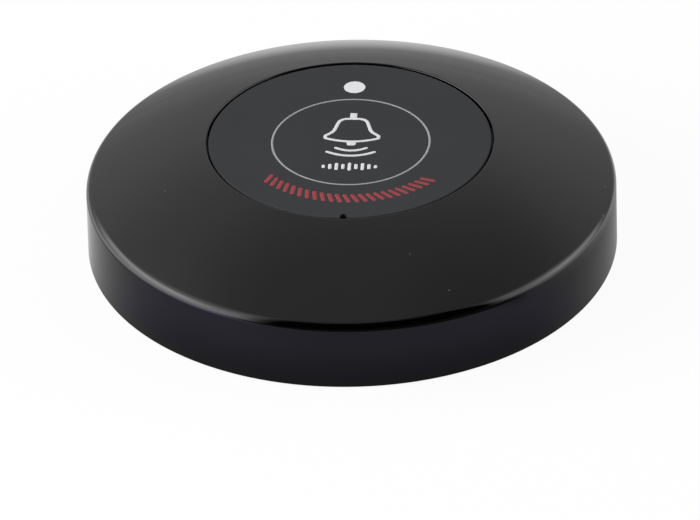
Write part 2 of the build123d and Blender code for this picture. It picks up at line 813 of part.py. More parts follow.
with BuildPart() as encoder_leads:
    middle_pin = (encoder_pins - 1) / 2
    pin_rows = [encoder_y + (pin - middle_pin) * encoder_pitch for pin in range(encoder_pins)]
    for side in (-1, 1):
        gull_wing_row(
            side,
            encoder_x + side * encoder_width / 2,
            encoder_lead_reach,
            encoder_lead_exit,
            pin_rows,
            encoder_lead_width,
        )
encoder_leads.part.label = "encoder_leads"
export_step(encoder_leads.part, "parts/encoder_leads.step")


def chip(x_place, y_place, length, width, height):
    """A block soldered flat on the board, with its middle at the place given."""
    with BuildSketch(Plane.XY.offset(board_top)) as outline:
        with Locations((x_place, y_place)):
            Rectangle(length, width)
    extrude(outline.sketch, amount=height)


# --- radio parts -----------------------------------------------------------------------------
with BuildPart() as crystal:
    chip(crystal_x, crystal_y, crystal_width, crystal_length, crystal_height)
    fillet(crystal.edges().filter_by(Axis.Z), radius=crystal_corner)
crystal.part.label = "crystal"
export_step(crystal.part, "parts/crystal.step")

with BuildPart() as radio_transistor:
    chip(transistor_x, transistor_y, transistor_width, transistor_length, transistor_height)
    chamfer(radio_transistor.edges().group_by(Axis.Z)[-1], length=encoder_chamfer)
radio_transistor.part.label = "radio_transistor"
export_step(radio_transistor.part, "parts/radio_transistor.step")

with BuildPart() as chip_capacitors:
    capacitor_row_y = capacitor_row_inset - board_radius
    for number in range(capacitor_count):
        chip_x = capacitor_row_x + number * chip_gap
        chip(chip_x, capacitor_row_y, chip_width, chip_length, capacitor_height)
chip_capacitors.part.label = "chip_capacitors"
export_step(chip_capacitors.part, "parts/chip_capacitors.step")

with BuildPart() as chip_resistors:
    for number in range(resistor_count):
        chip_x = resistor_row_inset - board_radius + number * chip_gap
        chip(chip_x, resistor_row_y, chip_width, chip_length, resistor_height)
chip_resistors.part.label = "chip_resistors"
export_step(chip_resistors.part, "parts/chip_resistors.step")

# --- antenna ---------------------------------------------------------------------------------
# A wire loop that follows the edge of the board on two short upright ends.
with BuildPart() as antenna_loop:
    antenna_z = board_top + antenna_rise
    with BuildSketch(upright_plane(antenna_first_angle)):
        with Locations((antenna_radius, antenna_z)):
            Circle(antenna_wire / 2)
    revolve(axis=Axis.Z, revolution_arc=antenna_span)
    for end_angle in (antenna_first_angle, antenna_first_angle + antenna_span):
        end_x = antenna_radius * cos(radians(end_angle))
        end_y = antenna_radius * sin(radians(end_angle))
        with Locations((end_x, end_y, antenna_z)):
            Sphere(antenna_wire / 2)
        with BuildSketch(Plane.XY.offset(board_top)):
            with Locations((end_x, end_y)):
                Circle(antenna_wire / 2)
        extrude(amount=antenna_rise)
antenna_loop.part.label = "antenna_loop"
export_step(antenna_loop.part, "parts/antenna_loop.step")
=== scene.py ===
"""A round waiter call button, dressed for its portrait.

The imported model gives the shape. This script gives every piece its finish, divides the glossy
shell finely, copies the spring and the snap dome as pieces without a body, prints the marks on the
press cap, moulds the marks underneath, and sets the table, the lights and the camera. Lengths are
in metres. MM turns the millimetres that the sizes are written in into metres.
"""

from math import atan2, cos, pi, radians, sin, sqrt

import bpy
import numpy as np
from mathutils import Matrix, Vector


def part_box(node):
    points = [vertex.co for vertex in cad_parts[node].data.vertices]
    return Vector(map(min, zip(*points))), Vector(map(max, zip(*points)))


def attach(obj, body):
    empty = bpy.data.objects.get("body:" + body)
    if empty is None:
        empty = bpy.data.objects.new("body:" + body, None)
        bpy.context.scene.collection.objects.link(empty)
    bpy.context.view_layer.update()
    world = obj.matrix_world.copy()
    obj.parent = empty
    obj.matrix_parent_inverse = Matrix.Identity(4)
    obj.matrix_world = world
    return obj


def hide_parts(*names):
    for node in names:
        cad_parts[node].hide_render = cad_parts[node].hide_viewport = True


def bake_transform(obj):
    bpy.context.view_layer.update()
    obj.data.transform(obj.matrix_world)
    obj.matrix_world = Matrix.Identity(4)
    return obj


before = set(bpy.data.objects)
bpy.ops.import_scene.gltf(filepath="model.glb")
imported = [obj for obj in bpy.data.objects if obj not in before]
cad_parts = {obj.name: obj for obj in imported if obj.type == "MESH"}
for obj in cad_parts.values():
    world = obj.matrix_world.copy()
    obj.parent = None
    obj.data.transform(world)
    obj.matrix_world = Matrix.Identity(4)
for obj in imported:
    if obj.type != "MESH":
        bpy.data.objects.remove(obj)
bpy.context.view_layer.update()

MM = 0.001

# --- outline of the top shell, in millimetres and degrees ---------------------------------------
WELL_RADIUS = 21.63
WELL_EDGE_HEIGHT = 18.45     # where the dome and the wall of the well would meet unrounded
WALL_TOP = 10.0
EDGE_ROUND = 0.2
RIM_ROUND = 1.75
RIM_SLOPE = 28.0
HEM_ROUND = 0.2
SHELL_STEPS = {"edge": 14, "dome": 40, "rim": 32, "hem": 8}    # down each arc of the outline
SHELL_COLUMNS = 388          # round the axis
ON_OUTLINE = 0.02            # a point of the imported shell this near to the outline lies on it
SAME_POINT = 1e-6            # two points this near are one
POINT_DECIMALS = 8           # of a metre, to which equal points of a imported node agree

# --- sizes of the printed marks, in millimetres ----------------------------------------------
INK_THICKNESS = 0.03
MARK_SINK = 0.01             # how far a mark reaches into the face that carries it
LINE_TIP = 0.995             # a line's rounded end stops at this share, short of a single point
ROUNDING_POINTS = 9          # in each rounded corner
FEWEST_STEPS = 4             # along a short line
MARKS_CENTRE_X = 0.25

RING_RADIUS = 11.86
RING_LINE = 0.31
RING_MIDDLE = (-0.1, -0.39)   # from the middle of the other marks

BELL_LINE = 0.52
BELL_CROWN_WIDTH = 1.05
BELL_CROWN_TOP = 7.6
BELL_TOP_Y = 6.03
BELL_TOP_X = 1.95            # where the top and the side would meet unrounded
BELL_WAIST_Y = 2.45
BELL_WAIST_X = 2.82
BELL_LIP_X = 4.02
BELL_LIP_TOP = 1.28
BELL_LIP_FOOT = 0.6
BELL_SAG = 0.9               # of the lip's lower line, below its ends
BELL_ROUNDINGS = (1.3, 0.6, 0.12)          # of the top's ends, the waist and the lip's ends
CROWN_ROUNDING = 0.12
CLAPPER_TOP = -0.2
CLAPPER_FOOT = -1.4
CLAPPER_WIDTHS = (1.6, 1.2)  # at its top and its foot
CLAPPER_ROUNDING = 0.3

SWING_ARCS = ((2.5, -1.94, 0.88), (3.78, -3.05, 1.19))   # half width, height of the ends, sag

BARS_Y = -7.27
BARS_PITCH = 0.98
BARS_WIDTH = 0.5
BARS_HEIGHTS = (0.9, 1.4, 1.95, 1.4, 2.15, 1.4, 1.95, 1.4, 0.9)

DASH_RADIUS = 16.05
DASH_FIRST_ANGLE = 222.0
DASH_LAST_ANGLE = 318.0
DASH_COUNT = 23
DASH_LENGTH = 2.45
DASH_WIDTH = 0.64
DASH_SLANT = 24.0            # degrees off the line to the middle of the cap

# --- sizes of the marks moulded underneath, in millimetres and degrees ------------------------------
DOOR_MARK_HEIGHT = 0.35
BASE_MARK_HEIGHT = 0.2
MARK_WIDTH = 0.85
DOOR_POINTER = (11.2, 13.6)  # from and to which radius
DOOR_POINTER_ANGLE = 90.0
DOOR_TWIST = 45.0
TWIST_ARC_RADIUS = 11.6
TWIST_ARC = (-52.0, -128.0)  # from its tail to its head, the way that the door opens
TWIST_HEAD = 1.9             # length of the arrow's head
TWIST_HEAD_SPREAD = 0.7      # how far each side of it leans out, as a share of that length
LOCK_MARKS_RADIUS = 17.6
LOCK_DOT = 0.75              # radius of the locked dot
LOCK_DOT_ROUNDING = 0.1
LOCK_RING = 1.0              # radius of the open ring

# --- camera ------------------------------------------------------------------------------------
CAMERA_AZIMUTH = 3.53
CAMERA_ELEVATION = 33.2
CAMERA_ROLL = 1.526
CAMERA_DISTANCE = 2.0
FRAME_WIDTH = 105.9          # millimetres across the picture at the part's origin
FRAME_AIM_RIGHT = -0.411     # from the origin's image to the middle of the picture, in millimetres
FRAME_AIM_UP = -2.699
SENSOR_WIDTH = 36.0
CAMERA_REACH = 20.0          # metres


# --- the room, as the gloss shows it --------------------------------------------------------------
# Angles are in degrees: an azimuth of 0 is towards +Y and 90 is towards +X. A band of four numbers
# rises from nothing between its first two and falls back to nothing between its last two.
UNLIT_MIDDLE = 169.4         # azimuth of the unlit front of the room
UNLIT_BAND = (-53.4, -47.4, 39.0, 61.8)    # azimuths from that middle
UNLIT_TOP = (52.0, 78.0)     # elevations over which it gives way to the ceiling
ROOM_LEVEL = 0.49            # brightness of the plain room at the level of the table
ROOM_RISE = 0.18             # how much brighter its upper walls are, and how much the ceiling loses again
UPPER_WALLS = (0.1, 0.5)     # sines of the elevations over which it rises
CEILING = (0.75, 1.0)        # and falls
RIGHT_LOSS = 0.34            # share that is lost at the right, under the ceiling
RIGHT_SIDE = (0.0, 0.5)      # x of a direction, over which the loss sets in
RIGHT_HEIGHT = (0.57, 0.82)  # sines of the elevations, over which it sets in too
LEFT_GAIN = 0.18             # brightness added at the left
LEFT_SIDE = (-0.9, -0.2)     # x of a direction, over which the gain dies away
ROOM_FILL = 1.15             # how much of the room's brightness lights the part
WINDOWS = (
    {"strength": 2.5, "azimuth": (-168.5, -130.0, -100.0, -48.0), "elevation": (-91.0, -90.0, 12.0, 69.5)},
    {"strength": 2.4, "azimuth": (-128.8, -103.6, -65.0, -40.0), "elevation": (-3.4, 28.0, 24.5, 36.0)},
    {"strength": 1.25, "azimuth": (49.8, 80.0, 108.3, 119.3), "elevation": (-91.0, -90.0, 25.7, 47.1)},
    {"strength": 1.95, "azimuth": (44.3, 60.3, 80.0, 107.9), "elevation": (-12.2, 22.0, 13.7, 33.5)},
)

# --- the table, as the gloss shows it: painted shade, shadow and reflection -------------------------
TABLE_GLOW = 0.94            # share of the table's look that no shadow reaches
TABLE_HALF_SIDE = 6.0        # metres
# Painted shade and painted light: the table's brightness in the gloss is dim in front of the part, raised on
# one side and lowered on the other.
FRONT_TONE = 0.31            # brightness in front of the part, as a share of that behind it
LIT_GAIN = 0.15              # of the table's brighter side
SHADY_LOSS = 0.50            # of its darker side
# Painted shadow at the part's foot: darker in front, and lighter past the two ends of the front.
FOOT_TONES = (0.63, 0.83)    # at the part's foot: in front, and past the two ends of its front
OPEN_TONES = (1.13, 0.63)    # clear of the foot, in the same two places
# Painted pool of light: beyond the bright patch round the part, the table's painted brightness fades from
# near to far.
FAR_TONES = (0.86, 0.44)     # beyond the bright patch, near and far
# Azimuths of the painted light and the painted shade on the table's two sides.
TABLE_LIT = (-180.0, -150.0, -95.0, -65.0)     # azimuths of its brighter side
TABLE_SHADY = (-8.0, 8.0, 70.0, 125.0)         # and of its darker side
PART_RADIUS = 0.040
# Painted shadow: how far from the part's side the painted shade at the foot reaches.
CONTACT_SHADE = 0.0125       # metres from the part's side
# Painted pool of light: the bright patch round the part, and how far off it fades.
PATCH_MIDDLE = (-0.020, -0.0023, 0.0)          # of the bright patch round the part, in metres
PATCH_EDGE = (0.066, 0.0712)
TABLE_FADE = (0.070, 0.132)  # metres from the middle of the part
# Painted shade: the table is dimmest in front of the part and lighter aside.
TABLE_ASIDE = (42.0, 125.0)  # azimuths from the front over which it gets brighter
# Painted shadow at the foot, which moves outwards at the two ends of the front.
TABLE_ENDS = (35.0, 75.0)    # over which its shade moves from the part's foot outwards
# Painted reflection tint: in front of the part the table looks bluish, in the gloss only.
TABLE_COOL = (-75.0, -50.0, 50.0, 75.0)        # azimuths from the front over which it looks bluish
COOL_START = (0.001, 0.003)  # metres from the part's side over which that sets in
COOL_CAST = (0.93, 0.885, 1.18)
# Painted shade of the unlit front of the room, on the table.
TABLE_UNLIT = (-44.9, -41.9, 39.0, 61.8)       # azimuths from the middle of the unlit front
# Painted reflection: a sheen of the two windows painted on the table, stronger towards the part.
SHEENS = (
    {"strength": 2.6, "azimuth": (-168.5, -130.0, -100.0, -44.0), "slant": 0.66},
    {"strength": 1.3, "azimuth": (49.8, 80.0, 108.3, 119.3), "slant": 0.62},
)
# Painted shadow: the table right under the part is one even dark tone.
UNDER_PART = 0.4             # brightness of the table right under the part
UNDER_EDGE = 0.004           # metres inside the part's side over which that sets in
SHEEN_HEIGHT = 0.011         # of the rim above the table, in metres


# --- helpers: materials -------------------------------------------------------------------------
MIX_SHARE, MIX_LOW, MIX_HIGH = 0, 6, 7     # the sockets that a Mix node of colours reads
MIX_RESULT = 2


class Value:
    """A number that changes over a surface: a shader socket with arithmetic."""

    def __init__(self, finish, socket):
        self.finish = finish
        self.socket = socket

    def maths(self, operation, *others, first=True, clamp=False):
        """A Math node on this value and others, with this one last where first is false."""
        inputs = [self, *others] if first else [*others, self]
        return self.finish.maths(operation, *inputs, clamp=clamp)

    def __add__(self, other):
        return self.maths("ADD", other)

    def __radd__(self, other):
        return self.maths("ADD", other)

    def __sub__(self, other):
        return self.maths("SUBTRACT", other)

    def __rsub__(self, other):
        return self.maths("SUBTRACT", other, first=False)

    def __mul__(self, other):
        return self.maths("MULTIPLY", other)

    def __rmul__(self, other):
        return self.maths("MULTIPLY", other)

    def __rtruediv__(self, other):
        return self.maths("DIVIDE", other, first=False)

    def above(self, other):
        """1 where the value is greater than the other, and 0 elsewhere."""
        return self.maths("GREATER_THAN", other)

    def size(self):
        """The value without its sign."""
        return self.maths("ABSOLUTE")

    def clipped(self):
        """The value kept between 0 and 1."""
        return self.maths("ADD", 0.0, clamp=True)


def plain(value):
    """The socket behind a Value, or the number itself."""
    return value.socket if isinstance(value, Value) else value


class Finish:
    """A node material, or the world, under construction."""

    def __init__(self, name=None, tree=None):
        self.material = None
        if tree is None:
            self.material = bpy.data.materials.new(name)
            self.material.use_nodes = True
            tree = self.material.node_tree
        self.tree = tree
        tree.nodes.clear()

    def node(self, kind, settings=None, values=None):
        """One node: its type, its settings, then the values or links of its sockets."""
        made = self.tree.nodes.new("ShaderNode" + kind)
        for name, setting in (settings or {}).items():
            setattr(made, name, setting)
        for name, value in (values or {}).items():
            socket = made.inputs[name]
            value = plain(value)
            if isinstance(value, bpy.types.NodeSocket):
                self.tree.links.new(value, socket)
            else:
                socket.default_value = value
        return made

    def maths(self, operation, *numbers, clamp=False):
        """A Math node on numbers and Values."""
        made = self.node(
            "Math",
            {"operation": operation, "use_clamp": clamp},
            dict(enumerate(numbers)),
        )
        return Value(self, made.outputs[0])

    def place(self, scale=(1.0, 1.0, 1.0)):
        """The point of the surface in the part's own frame, scaled."""
        source = self.node("TexCoord")
        mapping = self.node("Mapping", values={"Vector": source.outputs["Object"], "Scale": scale})
        return mapping.outputs["Vector"]

    def split(self, vector):
        """The x, y and z of a vector."""
        parts = self.node("SeparateXYZ", values={"Vector": vector})
        return [Value(self, parts.outputs[axis]) for axis in "XYZ"]

    def noise(self, size, detail=2.0, roughness=0.5, place=None):
        """Noise between 0 and 1 whose features are about one size across, in millimetres."""
        made = self.node(
            "TexNoise",
            values={
                "Vector": place or self.place(),
                "Scale": 1.0 / (size * MM),
                "Detail": detail,
                "Roughness": roughness,
            },
        )
        return Value(self, made.outputs[0])

    def cells(self, size):
        """Distance from the nearest of a scatter of points about one size apart, in millimetres."""
        made = self.node("TexVoronoi", values={"Vector": self.place(), "Scale": 1.0 / (size * MM)})
        return Value(self, made.outputs["Distance"])

    def ramp(self, value, low, high):
        """0 below low, 1 above high and a smooth rise between them."""
        made = self.node(
            "MapRange",
            {"interpolation_type": "SMOOTHSTEP"},
            {"Value": value, "From Min": low, "From Max": high},
        )
        return Value(self, made.outputs["Result"])

    def band(self, value, stops):
        """A rise from 0 to 1 between the first two stops, and a fall back between the last two."""
        return self.ramp(value, stops[0], stops[1]) * (1 - self.ramp(value, stops[2], stops[3]))

    def colour(self, mask, low, high):
        """The colour low where the mask is 0, high where it is 1."""
        made = self.node(
            "Mix",
            {"data_type": "RGBA"},
            {MIX_SHARE: mask, MIX_LOW: shade(low), MIX_HIGH: shade(high)},
        )
        return made.outputs[MIX_RESULT]

    def distance(self, place, middle):
        """How far a point of the surface is from a fixed one, in metres."""
        made = self.node("VectorMath", {"operation": "DISTANCE"}, {0: place, 1: middle})
        return Value(self, made.outputs["Value"])

    def mixed(self, share, one, other):
        """One shader where the share is 0, the other where it is 1."""
        return self.node("MixShader", values={0: share, 1: one.outputs[0], 2: other.outputs[0]})

    def bump(self, height, depth):
        """A bump whose full height is a depth in millimetres."""
        made = self.node("Bump", values={"Height": height, "Distance": depth * MM, "Strength": 1.0})
        return made.outputs["Normal"]

    def surface(self, **values):
        """A Principled surface, with the sockets named in words joined by underscores."""
        named = {name.replace("_", " "): value for name, value in values.items()}
        return self.finish_with(self.node("BsdfPrincipled", values=named).outputs[0])

    def finish_with(self, socket, kind="OutputMaterial"):
        """Links the finished surface or light to the output."""
        self.node(kind, values={"Surface": socket})
        return self.material


def between(low, high, share):
    """What lies a share of the way from low to high, where each is a number or a Value."""
    return low + (high - low) * share


def shade(value):
    """A grey or a colour as four numbers, or a link unchanged."""
    value = plain(value)
    if isinstance(value, bpy.types.NodeSocket):
        return value
    if isinstance(value, (int, float)):
        value = (value, value, value)
    return (*value[:3], 1.0)


# --- helpers: shapes ------------------------------------------------------------------------------
def put_in_scene(name, data):
    """A new object in the scene, at the origin."""
    made = bpy.data.objects.new(name, data)
    bpy.context.scene.collection.objects.link(made)
    return made


def mesh_piece(name, points, faces, body, material):
    """A new piece of the object from whole arrays. A piece that bends between bodies has no body."""
    mesh = bpy.data.meshes.new(name)
    mesh.from_pydata(points.reshape(-1, 3).tolist(), [], faces)
    mesh.validate()
    mesh.polygons.foreach_set("use_smooth", [True] * len(mesh.polygons))
    mesh.materials.append(material)
    mesh.update()
    piece = put_in_scene(name, mesh)
    if body:
        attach(piece, body)
    return piece


def grid_faces(rows, columns, rows_close=False, columns_close=False, first=0):
    """The quads between the points of a grid, as an array, with either way round closed or open."""
    row = np.arange(rows if rows_close else rows - 1)[:, None]
    column = np.arange(columns if columns_close else columns - 1)[None, :]
    next_row = (row + 1) % rows
    next_column = (column + 1) % columns
    corners = (
        row * columns + column,
        next_row * columns + column,
        next_row * columns + next_column,
        row * columns + next_column,
    )
    return (np.stack(np.broadcast_arrays(*corners), -1).reshape(-1, 4) + first).tolist()


def along(path, closed=False):
    """Unit tangents of a path in the plane, by central differences."""
    if closed:
        step = np.roll(path, -1, 0) - np.roll(path, 1, 0)
    else:
        step = np.gradient(path, axis=0)
    return step / np.linalg.norm(step, axis=1, keepdims=True)


def rounded_path(corners, radius):
    """A closed path through a list of corners with each corner rounded.

    A corner gives way to a parabola that leaves the two sides a set length before and after it,
    or close to the middle of a side that is too short for that.
    """
    corners = np.asarray(corners, float)
    before = np.roll(corners, 1, 0)
    after = np.roll(corners, -1, 0)
    reach = np.broadcast_to(np.asarray(radius, float), len(corners))[:, None]
    to_before = before - corners
    to_after = after - corners
    length_before = np.linalg.norm(to_before, axis=1, keepdims=True)
    length_after = np.linalg.norm(to_after, axis=1, keepdims=True)
    half = 0.49              # a little less, so that two parabolas on a short side don't meet
    start = corners + to_before / length_before * np.minimum(reach, length_before * half)
    end = corners + to_after / length_after * np.minimum(reach, length_after * half)
    t = np.linspace(0, 1, ROUNDING_POINTS)[None, :, None]
    bends = (1 - t) ** 2 * start[:, None] + 2 * t * (1 - t) * corners[:, None] + t**2 * end[:, None]
    return bends.reshape(-1, 2)


def evenly(path, spacing, closed=False):
    """The same path with its points an even distance apart."""
    if closed:
        path = np.concatenate([path, path[:1]])
    lengths = np.concatenate([[0.0], np.cumsum(np.linalg.norm(np.diff(path, axis=0), axis=1))])
    count = max(int(lengths[-1] / spacing), FEWEST_STEPS)
    places = np.linspace(0, lengths[-1], count + 1)
    if closed:
        places = places[:-1]
    return np.stack([np.interp(places, lengths, path[:, i]) for i in range(2)], -1)


def raised_line(path, width, closed=False, spacing=0.12, thickness=INK_THICKNESS):
    """Points and faces of a line of ink or of moulded plastic: a low mound carried along a path.

    Across the line, the height falls from the middle to the edge as one minus the fourth power
    of the distance. Its edges go on down a little, into the face that carries it. An open line
    ends in half circles: there the width shrinks as a circle's does.
    """
    path = evenly(np.asarray(path, float), spacing, closed)
    tangent = along(path, closed)
    side = np.stack([-tangent[:, 1], tangent[:, 0]], -1)
    half = np.full(len(path), width / 2)
    if not closed:
        run = np.concatenate([[0.0], np.cumsum(np.linalg.norm(np.diff(path, axis=0), axis=1))])
        from_end = np.minimum(run, run[-1] - run)
        short = np.clip(1 - from_end / (width / 2), 0, LINE_TIP)
        half = width / 2 * np.sqrt(1 - short**2)
    across = np.array([-1.0, -1.0, -0.85, -0.5, 0.0, 0.5, 0.85, 1.0, 1.0])
    height = thickness * (1 - across**4)
    height[[0, -1]] = -MARK_SINK
    flat = path[:, None] + side[:, None] * (across[None, :, None] * half[:, None, None])
    level = np.broadcast_to(height[None, :, None], (*flat.shape[:2], 1))
    points = np.concatenate([flat, level], -1)
    rows, columns = points.shape[:2]
    faces = grid_faces(rows, columns, rows_close=closed, columns_close=True)
    if not closed:
        faces.append(list(range(columns)))
        faces.append(list(range((rows - 1) * columns, rows * columns))[::-1])
    return points.reshape(-1, 3), faces


def raised_patch(corners, rounding, thickness=INK_THICKNESS):
    """Points and faces of a filled mark with rounded corners, given clockwise.

    Its outline is drawn in towards its middle while the height rises to the mark's thickness, as
    one minus the fourth power of the distance from the middle. Its edge goes on down a little,
    into the face that carries it.
    """
    outline = rounded_path(corners, rounding)
    share = np.array([1.0, 1.0, 0.92, 0.75, 0.4])
    height = thickness * (1 - share**4)
    height[0] = -MARK_SINK
    middle = outline.mean(0)
    flat = middle + share[:, None, None] * (outline - middle)[None]
    level = np.broadcast_to(height[:, None, None], (*flat.shape[:2], 1))
    rows, columns = flat.shape[:2]
    faces = grid_faces(rows, columns, columns_close=True)
    faces.append(list(range(columns)))
    faces.append(list(range((rows - 1) * columns, rows * columns))[::-1])
    return np.concatenate([flat, level], -1).reshape(-1, 3), faces


def joined(shapes):
    """Several shapes as one list of points and faces."""
    points = []
    faces = []
    count = 0
    for shape_points, shape_faces in shapes:
        points.append(shape_points)
        faces.extend([[i + count for i in face] for face in shape_faces])
        count += len(shape_points)
    return np.concatenate(points), faces


def printed_on_cap(name, shapes, material):
    """Marks given in millimetres on the cap's face, as a piece that rides on the cap."""
    points, faces = joined(shapes)
    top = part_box("press_cap")[1].z
    points = points * MM + np.array([MARKS_CENTRE_X * MM, 0.0, top])
    mesh_piece(name, points, faces, "cap", material)


def moulded_below(name, shapes, carrier, body, material):
    """Raised marks given in millimetres under a node that looks down, with their faces turned over."""
    points, faces = joined(shapes)
    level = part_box(carrier)[0].z
    points = points * [MM, MM, -MM] + np.array([0.0, 0.0, level])
    mesh_piece(name, points, [face[::-1] for face in faces], body, material)


def arc(radius, first, last, count=90):
    """Points of an arc about the origin, between two angles in degrees."""
    angle = np.radians(np.linspace(first, last, count))
    return radius * np.stack([np.cos(angle), np.sin(angle)], -1)


def sagging(half_width, ends, sag, count=40):
    """A parabola between two ends at one height whose middle hangs lower by the sag."""
    x = np.linspace(-half_width, half_width, count)
    return np.stack([x, ends - sag * (1 - (x / half_width) ** 2)], -1)


# --- the top shell ------------------------------------------------------------------------------
def shell_outline():
    """Radii, heights and outward normals down the outside of the shell, from well edge to hem.

    Each stretch is an arc: its middle plus its radius times (sin t, cos t), where t is how far
    the surface has turned from level. The dome is the arc that leaves the rim rounding at the
    rim's slope and would end at the well's unrounded edge.
    """
    low, high = (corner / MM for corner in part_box("top_shell"))
    slope = radians(RIM_SLOPE)
    lean = np.array([sin(slope), cos(slope)])
    rim = np.array([high.x - RIM_ROUND, WALL_TOP])
    rim_end = rim + RIM_ROUND * lean
    chord = np.array([WELL_RADIUS, WELL_EDGE_HEIGHT]) - rim_end
    dome_radius = -(chord @ chord) / (2 * (chord @ lean))
    dome = rim_end - dome_radius * lean
    edge_radius = WELL_RADIUS + EDGE_ROUND
    edge_rise = sqrt((dome_radius - EDGE_ROUND) ** 2 - (edge_radius - dome[0]) ** 2)
    edge = np.array([edge_radius, dome[1] + edge_rise])
    edge_slope = atan2(edge_radius - dome[0], edge_rise)
    hem = np.array([high.x - HEM_ROUND, low.z + HEM_ROUND])
    arcs = [
        (edge, EDGE_ROUND, -pi / 2, edge_slope, SHELL_STEPS["edge"]),
        (dome, dome_radius, edge_slope, slope, SHELL_STEPS["dome"]),
        (rim, RIM_ROUND, slope, pi / 2, SHELL_STEPS["rim"]),
        (hem, HEM_ROUND, pi / 2, pi, SHELL_STEPS["hem"]),
    ]
    places = []
    normals = []
    for middle, radius, first, last, steps in arcs:
        t = np.linspace(first, last, steps + 1)[:, None]
        normal = np.concatenate([np.sin(t), np.cos(t)], -1)
        places.append(middle + radius * normal)
        normals.append(normal)
    places = np.concatenate(places)
    step_lengths = np.linalg.norm(np.diff(places, axis=0), axis=1)
    fresh = np.append(True, step_lengths > SAME_POINT)    # the next arc may start on the last point
    return places[fresh], np.concatenate(normals)[fresh]


def swept_round(pairs, angles):
    """Pairs of a radius and a height, turned round the axis to every angle."""
    radius = pairs[:, None, :1]
    ways = np.stack([np.cos(angles), np.sin(angles)], -1)[None]
    height = np.broadcast_to(pairs[:, None, 1:], (len(pairs), len(angles), 1))
    return np.concatenate([radius * ways, height], -1)


def joined_copy(node):
    """Points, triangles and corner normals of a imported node, with equal points made one."""
    mesh = node.data
    points = np.empty(len(mesh.vertices) * 3)
    mesh.vertices.foreach_get("co", points)
    corners = np.empty(len(mesh.loops), int)
    mesh.loops.foreach_get("vertex_index", corners)
    normals = np.empty(len(mesh.loops) * 3)
    mesh.corner_normals.foreach_get("vector", normals)
    points, index = np.unique(points.reshape(-1, 3).round(POINT_DECIMALS), axis=0, return_inverse=True)
    return points, index.ravel()[corners].reshape(-1, 3), normals.reshape(-1, 3, 3)


def stitches(loop, loop_angles, row, row_angles, downwards):
    """Faces that join a coarse ring of points to a fine one, each from one coarse point to the next."""
    pitch = row_angles[1] - row_angles[0]
    starts = np.rint((loop_angles - row_angles[0]) / pitch).astype(int)
    ends = np.append(starts[1:], starts[0] + len(row))
    after = np.roll(loop, -1)
    faces = []
    for here, there, start, end in zip(loop, after, starts, ends):
        fine = row[np.arange(start, end + 1) % len(row)]
        if downwards:
            faces.append([here, *fine, there])
        else:
            faces.append([there, *fine[::-1], here])
    return faces


def mould_shell(material):
    """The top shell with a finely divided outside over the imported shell's own inside.

    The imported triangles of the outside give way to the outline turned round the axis. At the
    well's edge and at the hem, the fine rows are stitched to the rings of points left there.
    """
    outline, outline_normals = shell_outline()
    points, triangles, corner_normals = joined_copy(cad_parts["top_shell"])
    radius = np.hypot(points[:, 0], points[:, 1]) / MM
    height = points[:, 2] / MM
    hem_radius, hem_height = outline[-1]
    above_hem = outline[: -SHELL_STEPS["hem"] - 1]
    skin = np.interp(radius, *above_hem.T) - EDGE_ROUND - ON_OUTLINE
    on_top = (radius > WELL_RADIUS - ON_OUTLINE) & (height > skin)
    outside = on_top | (radius > hem_radius - ON_OUTLINE)
    inside = ~outside[triangles].all(1)
    angles = 2 * pi * np.arange(SHELL_COLUMNS) / SHELL_COLUMNS
    fine = swept_round(outline[1:-1], angles)
    fine_normals = swept_round(outline_normals[1:-1], angles)
    rows = len(fine)
    first = len(points)
    quads = grid_faces(rows, SHELL_COLUMNS, columns_close=True, first=first)
    edge_radius, edge_height = outline[0]
    sews = []
    normals = np.concatenate([np.zeros_like(points), fine_normals.reshape(-1, 3)])
    for place, row, normal, downwards in (
        ((edge_radius, edge_height), 0, outline_normals[0], True),
        ((hem_radius, hem_height), rows - 1, outline_normals[-1], False),
    ):
        off_place = np.maximum(abs(radius - place[0]), abs(height - place[1]))
        ring = np.flatnonzero(off_place < ON_OUTLINE)
        turns = np.arctan2(points[ring, 1], points[ring, 0]) % (2 * pi)
        order = np.argsort(turns)
        ring = ring[order]
        turns = turns[order]
        level = first + row * SHELL_COLUMNS + np.arange(SHELL_COLUMNS)
        sews += stitches(ring, turns, level, angles, downwards)
        normals[ring] = swept_round(normal[None], turns)[0]
    faces = triangles[inside].tolist() + quads + sews
    new_corners = np.concatenate([np.ravel(quads), np.concatenate(sews)]).astype(int)
    all_points = np.concatenate([points, fine.reshape(-1, 3) * MM])
    piece = mesh_piece("top_shell_moulding", all_points, faces, "housing", material)
    loops = np.concatenate([corner_normals[inside].reshape(-1, 3), normals[new_corners]])
    piece.data.normals_split_custom_set(loops.tolist())
    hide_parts("top_shell")


# --- the pieces that flex under the press ---------------------------------------------------------
def flexing(node, slot, finishes):
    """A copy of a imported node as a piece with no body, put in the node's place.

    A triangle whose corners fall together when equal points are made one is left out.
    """
    points, triangles, corner_normals = joined_copy(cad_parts[node])
    whole = (triangles != np.roll(triangles, 1, axis=1)).all(1)
    faces = triangles[whole].tolist()
    piece = mesh_piece(node + "_flexing", points, faces, None, finishes[slot])
    piece.data.normals_split_custom_set(corner_normals[whole].reshape(-1, 3).tolist())
    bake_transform(piece)
    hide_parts(node)


# --- finishes -------------------------------------------------------------------------------------
def gloss_black():
    """High-gloss black moulding, faintly smudged, with a few specks of dust."""
    make = Finish("gloss_black_shell")
    smudge = make.noise(9.0, detail=3.0, roughness=0.6)
    speck_edge = (0.028, 0.05)       # distances from a speck's middle, as shares of their spacing
    specks = 1 - make.ramp(make.cells(4.2), *speck_edge)
    dusty = make.noise(17.0).above(0.56)
    dust = specks * dusty
    return make.surface(
        Base_Color=make.colour(dust, (0.0006, 0.0006, 0.0008), (0.06, 0.06, 0.055)),
        Roughness=0.04 + 0.03 * smudge,
        IOR=1.5,
    )


